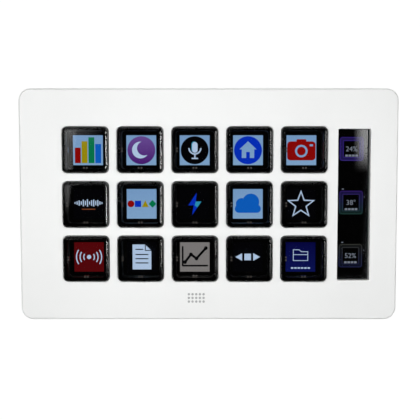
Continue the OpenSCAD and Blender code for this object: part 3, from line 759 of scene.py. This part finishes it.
def figures_mesh(text, height_mm, x, y, z, material):
    """Plain figures as a closed mesh, centred on x, y and standing on z."""
    words = bpy.data.curves.new("figures", "FONT")
    words.body = text
    words.align_x, words.align_y = "CENTER", "CENTER"
    words.size = height_mm / CAPITAL_SHARE * MM
    words.extrude = LAYER * MM
    words.resolution_u = 4
    holder = add_object("figures", words)
    work = bmesh.new()
    work.from_mesh(holder.to_mesh())
    bpy.data.objects.remove(holder)
    bmesh.ops.remove_doubles(work, verts=work.verts, dist=1e-7)
    bmesh.ops.recalc_face_normals(work, faces=work.faces)
    bmesh.ops.translate(work, verts=work.verts, vec=Vector((x, y, z + LAYER)) * MM)
    return to_mesh(work, "figures", material)


for r, (name, figures, *_) in zip(ROWS, DIALS):
    y = key_centre[r, 1].y + DIAL_RAISE - 0.1
    mesh = figures_mesh(figures, 2.3, strip.x, y, GLASS_Z, grey)
    take(add_object("figures", mesh), "figures_" + name, "housing", "screen_glass")
print("drew the strip's dials")

# %% [markdown]
# ## The ends of the snap hooks
#
# Each cap is held by two hooks, one at the left and one at the foot, and each hook is split
# into two prongs. The sawn-off ends of clear prongs glow faintly, because the plastic carries
# daylight down to them. Glass in a path tracer carries no such light to what lies under it,
# so the four ends get a thin grey plate with a painted glow: a little light of its own.

# %% A faint painted glow under each prong
PRONG = 0.8
PRONG_SPREAD = 0.65
PRONG_REACH = 8.25
prong_end_glow, tree, shader = new_finish("cut_acrylic_end", "#5E5A56", Roughness=0.6, IOR=1.49)
# Painted glow: this emission stands in for the daylight that the prongs carry; no lamp is behind
# it.
shader.inputs["Emission Color"].default_value = colour("#45423F")
shader.inputs["Emission Strength"].default_value = 1.0
mottle(tree, shader, "#524F4B", "#686460", 0.6)
for (r, c), at in key_centre.items():
    foot = box_mm(f"key_r{r}c{c}_cap")[0].z
    ends = [block(-PRONG_REACH, s * PRONG_SPREAD, PRONG, PRONG) for s in (-1, 1)]
    ends += [block(s * PRONG_SPREAD, -PRONG_REACH, PRONG, PRONG) for s in (-1, 1)]
    work = bmesh.new()
    for outline in ends:
        add_prism(work, [(at.x + x, at.y + y) for x, y in outline], foot - 2 * LAYER, foot - LAYER)
    name = f"key_r{r}c{c}_prong_ends"
    take(add_object(name, to_mesh(work, name, prong_end_glow)), name, f"key_r{r}c{c}", "cap_clear")

# %% [markdown]
# ## Geometry Nodes: what repeats
#
# A dot, a rib or a screw is worth modelling once. Geometry Nodes then put it wherever it
# belongs. Each tree below is built in code with named inputs for its sizes, ends by making
# real geometry and setting its material, and is turned into a plain mesh at once, so nothing
# is left live. Three helpers start a tree, end it and run it on an object.

# %% Helpers for Geometry Nodes
FLOAT, INT = "NodeSocketFloat", "NodeSocketInt"
OBJECT, MATERIAL = "NodeSocketObject", "NodeSocketMaterial"


def new_tree(name, **inputs):
    """A tree with a geometry going in and out, and the named inputs."""
    tree = bpy.data.node_groups.new(name, "GeometryNodeTree")
    face = tree.interface
    face.new_socket("Geometry", in_out="INPUT", socket_type="NodeSocketGeometry")
    for label, kind in inputs.items():
        face.new_socket(label, in_out="INPUT", socket_type=kind)
    face.new_socket("Geometry", in_out="OUTPUT", socket_type="NodeSocketGeometry")
    return tree, tree.nodes.new("NodeGroupInput").outputs, tree.nodes.new("NodeGroupOutput")


def finish_tree(tree, end, geometry, material):
    """Ends a tree: copies become real, then get their material."""
    real = add_node(tree, "GeometryNodeRealizeInstances", {"Geometry": geometry})
    dressed = {"Geometry": real, "Material": material}
    last = add_node(tree, "GeometryNodeSetMaterial", dressed)
    tree.links.new(last.outputs["Geometry"], end.inputs["Geometry"])


def run_tree(tree, mesh=None, **values):
    """Runs a tree on a new object and keeps the plain mesh that it makes."""
    obj = add_object(tree.name, mesh or bpy.data.meshes.new(tree.name))
    modifier = obj.modifiers.new("rule", "NODES")
    modifier.node_group = tree
    sockets = {s.name: s.identifier for s in tree.interface.items_tree if s.in_out == "INPUT"}
    for label, value in values.items():
        modifier[sockets[label]] = value
    return apply_modifiers(obj)


def shifted(obj, x, y, z):
    """Moves a piece's points, in millimetres, so that its object can stay at the origin."""
    for vert in obj.data.vertices:
        vert.co += Vector((x, y, z)) * MM
    return obj


# %% [markdown]
# ## A printed mark
#
# Under the middle column the case carries a small grey print. Here it is a plain field of
# dots that repeats the layout of the keys: three rows of five. A grid gives the places and a
# thin disc of ink stands on each. Pad-printed ink is matt and a little uneven.

# %% A field of printed dots
ink_grey, tree, shader = new_finish("pad_printed_ink_grey", "#A2A3A3", Roughness=0.5, IOR=1.5)
grain(tree, shader, 0.2, 0.003)
mottle(tree, shader, "#9EA0A0", "#A8A9A9", 2)

dots, given, end = new_tree(
    "printed_dots", Columns=INT, Rows=INT, Pitch=FLOAT, Radius=FLOAT, Ink=FLOAT
)
grid = {"Vertices X": given["Columns"], "Vertices Y": given["Rows"]}
for way, count in zip("XY", list(grid.values())):
    gaps = add_node(dots, MATH, {0: count, 1: 1}, operation="SUBTRACT")
    grid["Size " + way] = add_node(dots, MATH, {0: gaps, 1: given["Pitch"]}, operation="MULTIPLY")
places = add_node(dots, "GeometryNodeMeshGrid", grid)
disc_of_ink = {"Radius": given["Radius"], "Depth": given["Ink"], "Vertices": 24}
dot = add_node(dots, "GeometryNodeMeshCylinder", disc_of_ink)
copies = add_node(dots, "GeometryNodeInstanceOnPoints", {"Points": places, "Instance": dot})
finish_tree(dots, end, copies, ink_grey)

MARK_AT = (-5.7, -43.0)
INK = 0.02
mark = run_tree(dots, Columns=5, Rows=3, Pitch=1.7 * MM, Radius=0.55 * MM, Ink=INK * MM)
take(shifted(mark, *MARK_AT, FACE_Z + INK / 2), "printed_dots", "housing", "shell_white")
print("printed mark:", len(mark.data.polygons), "faces")

# %% [markdown]
# ## Ribs for the fingertip
#
# The stand is pulled out by a fingertip in the notch of the back. A few half-round ribs near
# its tip give grip. Each is a short round bar, half sunk into the flap, repeated on a line.

# %% Grip ribs on the stand
ribs, given, end = new_tree("grip_ribs", Count=INT, Pitch=FLOAT, Length=FLOAT, Radius=FLOAT)
half = add_node(ribs, MATH, {0: given["Length"], 1: 0.5}, operation="MULTIPLY")
left = add_node(ribs, MATH, {0: half, 1: -1}, operation="MULTIPLY")
ends = [add_node(ribs, "ShaderNodeCombineXYZ", {"X": x}) for x in (left, half)]
line = add_node(ribs, "GeometryNodeCurvePrimitiveLine", {"Start": ends[0], "End": ends[1]})
circle = {"Radius": given["Radius"], "Resolution": 16}
section = add_node(ribs, "GeometryNodeCurvePrimitiveCircle", circle)
sweep = {"Curve": line, "Profile Curve": section, "Fill Caps": True}
bar = add_node(ribs, "GeometryNodeCurveToMesh", sweep)
step = add_node(ribs, "ShaderNodeCombineXYZ", {"Y": given["Pitch"]})
row = add_node(ribs, "GeometryNodeMeshLine", {"Count": given["Count"], "Offset": step})
copies = add_node(ribs, "GeometryNodeInstanceOnPoints", {"Points": row, "Instance": bar})
finish_tree(ribs, end, copies, FINISH[slot_of["stand_flap"]])

RIB_FROM_TIP = 4.5
RIB_SUNK = 0.2
flap_low = box_mm("stand_flap")[0]
grip = run_tree(ribs, Count=5, Pitch=1.8 * MM, Length=30 * MM, Radius=0.4 * MM)
shifted(grip, 0, flap_low.y + RIB_FROM_TIP, flap_low.z + RIB_SUNK)
take(grip, "stand_grip_ribs", "stand", slot_of["stand_flap"])
print("grip ribs:", len(grip.data.polygons), "faces")

# %% [markdown]
# ## Screws and feet
#
# A screw is turned on a lathe, so its blank is a profile spun about an axis; the cross-shaped
# recess is then cut into the head. The thread is a small triangle that follows a spiral,
# which Geometry Nodes sweep along it. One more tree copies a finished shape to every place
# where the frame has one, and those places are the middles of the separate solids in a node.

# %% A lathe, and the places of a node's solids


def lathe(name, profile, steps=32, *materials):
    """Spins (radius, height) points, in millimetres, that start and end on the axis."""
    work = bmesh.new()
    rings = []
    for r, z in profile:
        if r == 0:
            rings.append([work.verts.new((0, 0, z * MM))] * steps)
        else:
            ring = disc(0, 0, r, steps)
            rings.append([work.verts.new((x * MM, y * MM, z * MM)) for x, y in ring])
    for low, high in zip(rings, rings[1:]):
        for i in range(steps):
            j = (i + 1) % steps
            work.faces.new(dict.fromkeys((low[i], low[j], high[j], high[i])))
    bmesh.ops.recalc_face_normals(work, faces=work.faces)
    obj = add_object(name, to_mesh(work, name, *materials))
    obj.data.shade_smooth()
    obj.data.set_sharp_from_angle(angle=SHARP)
    return obj


def solids_in(work):
    """The lowest and highest corner, in millimetres, of each separate solid in a mesh."""
    waiting = set(work.verts)
    boxes = []
    while waiting:
        queue, group = [waiting.pop()], []
        while queue:
            vert = queue.pop()
            group.append(vert.co / MM)
            near = [edge.other_vert(vert) for edge in vert.link_edges]
            queue += [other for other in near if other in waiting]
            waiting.difference_update(near)
        boxes.append((Vector(map(min, zip(*group))), Vector(map(max, zip(*group)))))
    work.free()
    return sorted(boxes, key=lambda box: tuple(box[0]))


def solids_of(node):
    return solids_in(merged(node))


print("case screws:", len(solids_of("case_screws")), "feet:", len(solids_of("rubber_feet")))

# %% The tree that copies a shape to places
copier, given, end = new_tree("copies", Shape=OBJECT, Turn=FLOAT, Finish=MATERIAL)
shape = add_node(copier, "GeometryNodeObjectInfo", {"Object": given["Shape"]})
turn = add_node(copier, "ShaderNodeCombineXYZ", {"X": given["Turn"]})
stamp = {"Points": given["Geometry"], "Instance": shape.outputs["Geometry"], "Rotation": turn}
copies = add_node(copier, "GeometryNodeInstanceOnPoints", stamp)
finish_tree(copier, end, copies, given["Finish"])


def copy_to(shape, places, turn=0.0):
    """Copies of an object's mesh at places in millimetres; the object itself is removed."""
    mesh = bpy.data.meshes.new("places")
    mesh.from_pydata([Vector(place) * MM for place in places], [], [])
    made = run_tree(copier, mesh, Shape=shape, Turn=turn, Finish=shape.data.materials[0])
    bpy.data.objects.remove(shape)
    return made


# %% The tree that winds a thread
threads, given, end = new_tree("screw_thread", Radius=FLOAT, Pitch=FLOAT, Length=FLOAT)
radius, pitch, length = (given[label] for label in ("Radius", "Pitch", "Length"))
turns = add_node(threads, MATH, {0: length, 1: pitch}, operation="DIVIDE")
wind = {"Rotations": turns, "Start Radius": radius, "End Radius": radius, "Height": length}
spiral = add_node(threads, "GeometryNodeCurveSpiral", wind | {"Resolution": 20})
crest = add_node(threads, MATH, {0: pitch, 1: 0.45}, operation="MULTIPLY")
triangle = {"Radius": crest, "Resolution": 3}
section = add_node(threads, "GeometryNodeCurvePrimitiveCircle", triangle)
sweep = {"Curve": spiral, "Profile Curve": section, "Fill Caps": True}
wound = add_node(threads, "GeometryNodeCurveToMesh", sweep)
finish_tree(threads, end, wound, FINISH["screw_steel"])

# %% Make the screws
CORE_SHARE = 0.78
PITCH = 0.6


def screw(head_r, head_h, thread_r, length):
    """A pan-head screw: head below z = 0, thread above it, with a cross-shaped recess."""
    core = thread_r * CORE_SHARE
    rim = [(head_r * 0.55, -head_h), (head_r * 0.85, -head_h * 0.9)]
    rim += [(head_r, -head_h * 0.55), (head_r, 0)]
    tip = [(core, 0), (core, length - core), (core * 0.4, length), (0, length)]
    blank = lathe("screw", [(0, -head_h), *rim, *tip])
    arm, width = head_r * 0.5, head_r * 0.17
    cross = [(width, arm), (width, width), (arm, width)]
    for turn in range(3):
        cross += [(y, -x) for x, y in cross[-3:]]
    work = bmesh.new()
    add_prism(work, cross, -head_h * 1.5, -head_h * 0.35)
    cutter = add_object("recess", to_mesh(work, "recess"))
    cut = blank.modifiers.new("recess", "BOOLEAN")
    cut.operation, cut.solver, cut.object = "DIFFERENCE", "EXACT", cutter
    apply_modifiers(blank)
    bpy.data.objects.remove(cutter)
    thread = run_tree(threads, Radius=core * MM, Pitch=PITCH * MM, Length=(length - 2 * core) * MM)
    work = bmesh.new()
    for part in (blank, shifted(thread, 0, 0, core)):
        work.from_mesh(part.data)
        bpy.data.objects.remove(part)
    return add_object("screw", to_mesh(work, "screw", FINISH["screw_steel"]))


for node, head_h, thread_share, turn in (
    ("case_screws", 0.9, 0.55, 0.0),
    ("carrier_screws", 1.2, 0.47, 0.0),
    ("board_screws", 1.2, 0.47, math.pi),
):
    boxes = solids_of(node)
    low, high = boxes[0]
    head_r = (high.x - low.x) / 2
    blank = screw(head_r, head_h, head_r * thread_share, high.z - low.z - head_h)
    seat = [(*((a + b) / 2).xy, b.z - head_h if turn else a.z + head_h) for a, b in boxes]
    piece = take(copy_to(blank, seat, turn), node + "_turned", "housing", slot_of[node], node)
    print(piece.name, len(piece.data.polygons), "faces")

# %% Make the feet
GROOVE = 0.15
low, high = solids_of("rubber_feet")[0]
foot_r, foot_h = (high.x - low.x) / 2, high.z - low.z
profile = [(0, 0)]
for r in (1.2, 2.6):
    profile += [(r, 0), (r + 0.15, GROOVE), (r + 0.45, GROOVE), (r + 0.6, 0)]
profile += [(foot_r - 0.3, 0), (foot_r - 0.08, 0.09), (foot_r, 0.3), (foot_r, foot_h), (0, foot_h)]
foot = lathe("foot", profile, 48, FINISH["foot_rubber"])
seats = [(*((a + b) / 2).xy, a.z) for a, b in solids_of("rubber_feet")]
take(copy_to(foot, seats), "rubber_feet_grooved", "housing", slot_of["rubber_feet"], "rubber_feet")
print("feet:", len(seats))

# %% [markdown]
# ## Rubber domes
#
# The mat under the keys is one moulding of silicone, whose domes give way when a key goes
# down. The mat is cut just above its sheet: the sheet stays as it is, and each key gets a
# piece with its four domes. A dome is drawn as a solid bell, inside the cone that the
# construction model has there. A real one is hollow under its crown, which nothing here shows.

# %% Cut the mat into its sheet and its domes


def cut_at(node, z_mm, keep_above):
    """The part of a node on one side of a level plane, closed again where it was cut."""
    work = merged(node)
    cut = bmesh.ops.bisect_plane(
        work,
        geom=[*work.verts, *work.edges, *work.faces],
        plane_co=(0, 0, z_mm * MM),
        plane_no=(0, 0, 1),
        clear_inner=keep_above,
        clear_outer=not keep_above,
    )
    rim = [part for part in cut["geom_cut"] if isinstance(part, bmesh.types.BMEdge)]
    bmesh.ops.triangle_fill(work, use_beauty=True, edges=rim)
    return work


mat_points = frame["nodes"]["dome_mat"].data.vertices
mat_foot, sheet_top, *_ = sorted({round(vert.co.z / MM, 2) for vert in mat_points})
sheet = to_mesh(cut_at("dome_mat", sheet_top + LAYER, False), "sheet", FINISH["dome_rubber"])
take(add_object("sheet", sheet), "dome_mat_sheet", "housing", "dome_rubber", "dome_mat")
domes = solids_in(cut_at("dome_mat", sheet_top + LAYER, True))
print("sheet from", mat_foot, "to", sheet_top, "mm, with", len(domes), "domes")

# %% Domes for every key
low, high = domes[0]
dome_r, dome_h = (high.x - low.x) / 2, high.z - sheet_top
bell = [(0, 0), (1, 0), (0.95, 0.12), (0.76, 0.5), (0.7, 0.6), (0.7, 0.94), (0.64, 1), (0, 1)]
profile = [(x * dome_r, z * dome_h) for x, z in bell]
reach = (key_centre[1, 2].x - key_centre[1, 1].x) / 2
for (r, c), at in key_centre.items():
    near = [((a + b) / 2).xy for a, b in domes]
    near = [(x, y, sheet_top) for x, y in near if max(abs(x - at.x), abs(y - at.y)) < reach]
    dome = lathe("dome", profile, 32, FINISH["dome_rubber"])
    name = f"key_r{r}c{c}_domes"
    piece = take(copy_to(dome, near), name, "housing", "dome_rubber", "dome_mat")
    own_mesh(piece)

# %% [markdown]
# ## Floor and surroundings
#
# The pad lies on a pale floor. Part of the floor's white is light of its own, but only for
# what looks at it: the camera, or a ray that was mirrored by or went through a piece. So the
# surroundings read as white, the pad is lit by the lamps alone but for a trace, and its
# shadow stays. In mirrored rays the room is pale near the horizon and dark overhead, as it is
# round a photographer's table: that dark ceiling is what the flat key tops mirror.

# %% The floor and the room


def seen_directly(tree):
    """Two outputs: 1 for camera rays, and 1 for mirrored or transmitted ones."""
    path = add_node(tree, "ShaderNodeLightPath").outputs
    rays = {0: path["Is Glossy Ray"], 1: path["Is Transmission Ray"]}
    return path["Is Camera Ray"], add_node(tree, MATH, rays, operation="MAXIMUM")


floor_white, tree, shader = new_finish("studio_floor_white", "#606060", Roughness=0.8)
FLOOR_SEEN = 0.92
FLOOR_MIRRORED = 0.45
shares = {
    i: add_node(tree, MATH, {0: ray, 1: share}, operation="MULTIPLY")
    for i, (ray, share) in enumerate(zip(seen_directly(tree), (FLOOR_SEEN, FLOOR_MIRRORED)))
}
glow = add_node(tree, MATH, shares, operation="MAXIMUM")
shader.inputs["Emission Color"].default_value = (1, 1, 1, 1)
tree.links.new(glow.outputs["Value"], shader.inputs["Emission Strength"])
floor_mesh = bpy.data.meshes.new("floor")
FLOOR_HALF = 1.5
corners = [(x * FLOOR_HALF, y * FLOOR_HALF, 0) for x, y in ((-1, -1), (1, -1), (1, 1), (-1, 1))]
floor_mesh.from_pydata(corners, [], [range(4)])
floor_mesh.materials.append(floor_white)
add_object("floor", floor_mesh)

world = bpy.data.worlds.new("studio")
world.use_nodes = True
bpy.context.scene.world = world
tree = world.node_tree
camera_ray, mirrored_ray = seen_directly(tree)
place = add_node(tree, "ShaderNodeTexCoord").outputs["Generated"]
upwards = add_node(tree, "ShaderNodeSeparateXYZ", {"Vector": place}).outputs["Z"]
limits = {"Value": upwards, "From Min": 0.05, "From Max": 0.3, "To Min": 0.6, "To Max": 0.0}
wall = add_node(tree, "ShaderNodeMapRange", limits)
AMBIENT = 0.008
mirrored = add_node(tree, MATH, {0: mirrored_ray, 1: wall}, operation="MULTIPLY")
shown = add_node(tree, MATH, {0: camera_ray, 1: mirrored}, operation="MAXIMUM")
strength = add_node(tree, MATH, {0: shown, 1: AMBIENT}, operation="ADD")
background = tree.nodes["Background"].inputs
tree.links.new(strength.outputs["Value"], background["Strength"])
background["Color"].default_value = (1, 1, 1, 1)

# %% [markdown]
# ## Lamps
#
# One large soft lamp overhead gives nearly all the light, and two weaker ones at the sides
# round the shapes. They would show as glare in the flat key tops, so mirrored rays don't see
# them. What a cap does mirror comes from six cards: a strip at the right that draws the thin
# line along each key's shoulder, a small one close over the keys that strengthens that line on
# the two left columns, a wide one beyond the socket's edge, and three whose images fall on the
# left keys and on the head of the display strip. The cards light nothing else. Their edges
# fade, as the edges of a cloth diffuser do.

# %% A soft lamp


def feather(tree, lamp_size, fade):
    """A number from 0 at a lamp's edge to 1 where it is at full strength."""
    spot = add_node(tree, "ShaderNodeNewGeometry").outputs["Parametric"]
    across = add_node(tree, "ShaderNodeSeparateXYZ", {"Vector": spot}).outputs
    shares = {}
    for i, length, width in zip((0, 1), lamp_size, fade):
        offset = add_node(tree, MATH, {0: across[i], 1: 0.5}, operation="SUBTRACT")
        off_centre = add_node(tree, MATH, {0: offset}, operation="ABSOLUTE")
        ramp = {"Value": off_centre, "From Min": 0.5, "From Max": 0.5 - width / length}
        shares[i] = add_node(tree, "ShaderNodeMapRange", ramp, interpolation_type="SMOOTHSTEP")
    return add_node(tree, MATH, shares, operation="MULTIPLY").outputs["Value"]


def softbox(name, at, towards, size, level, fade=None, card=False, beam=180, twist=0):
    """A flat lamp. level is its brightness beside paper white; lengths are in metres.

    size runs along the horizontal first, then along the lamp's slope.
    A card is seen in mirrored rays and lights nothing; any other lamp does the opposite.
    beam is the angle that a grid in front of it lets through, and twist turns it in its
    own plane, both in degrees.
    """
    lamp = bpy.data.lights.new(name, "AREA")
    lamp.shape = "RECTANGLE"
    lamp.size, lamp.size_y = size
    lamp.energy = level * math.pi * size[0] * size[1]
    lamp.spread = math.radians(beam)
    if fade:
        lamp.use_nodes = True
        strength = feather(lamp.node_tree, size, fade)
        lamp.node_tree.links.new(strength, lamp.node_tree.nodes["Emission"].inputs["Strength"])
    holder = add_object(name, lamp)
    holder.location = at
    aim = (Vector(towards) - Vector(at)).to_track_quat("-Z", "Y")
    holder.rotation_euler = (aim @ Quaternion((0, 0, 1), math.radians(twist))).to_euler()
    holder.visible_diffuse, holder.visible_glossy = not card, card
    holder.visible_transmission = holder.visible_camera = False


# %% Place the lamps
BOTTOM = (0, 0, 0)
PAD = (0, 0, 0.02)
softbox("overhead_fill", (-0.02, 0.03, 0.42), (-0.02, 0.03, 0), (0.32, 0.32), 4.95)
softbox("right_fill", (0.75, 0.0, 0.92), PAD, (0.5, 0.5), 2.5)
softbox("left_fill", (-0.5, -0.15, 0.4), PAD, (0.3, 0.3), 2.0)


def card(name, at, towards, size, level, fade, **more):
    softbox(name, at, towards, size, level, fade, True, **more)


card("shoulder_strip", (0.33, 0.0, 0.32), (-0.047, 0.0, 0.024), (0.24, 0.34), 3.0, (0.06, 0.03))
near, keys = (0.021, 0.0085, 0.078), (-0.042, 0.0085, 0.025)
card("near_card", near, keys, (0.105, 0.05), 1.05, (0.02, 0.015), beam=44)
card("top_card", (0.0, 0.45, 0.45), BOTTOM, (1.0, 0.25), 0.8, (0.1, 0.05))
for name, x, y, z, size, level, fade, twist in (
    ("left_card", -0.2035, 0.085, 0.6246, (0.09, 0.26), 1.4, (0.004, 0.03), -6.7),
    ("corner_card", -0.175, 0.075, 0.61, (0.10, 0.08), 1.0, (0.045, 0.02), 0),
    ("strip_card", 0.21, 0.0585, 0.6189, (0.065, 0.111), 6.3, (0.016, 0.038), 0),
):
    card(name, (x, y, z), (x, y, 0), size, level, fade, twist=twist)

# %% [markdown]
# ## Camera
#
# The camera stands 35 cm above the keys, a little towards the socket edge, and looks almost
# straight down. A 66 mm lens on a 36 mm sensor frames the whole pad with little distortion.

# %% The camera
LENS_MM, SENSOR_MM = 65.89, 36
camera_data = bpy.data.cameras.new("camera")
camera_data.lens, camera_data.sensor_width = LENS_MM, SENSOR_MM
camera = add_object("camera", camera_data)
camera.location = (0.00066, 0.02092, 0.3740)
camera.rotation_euler = (math.radians(-3.78), 0, 0)
bpy.context.scene.camera = camera
bpy.context.scene.view_settings.view_transform = "Standard"
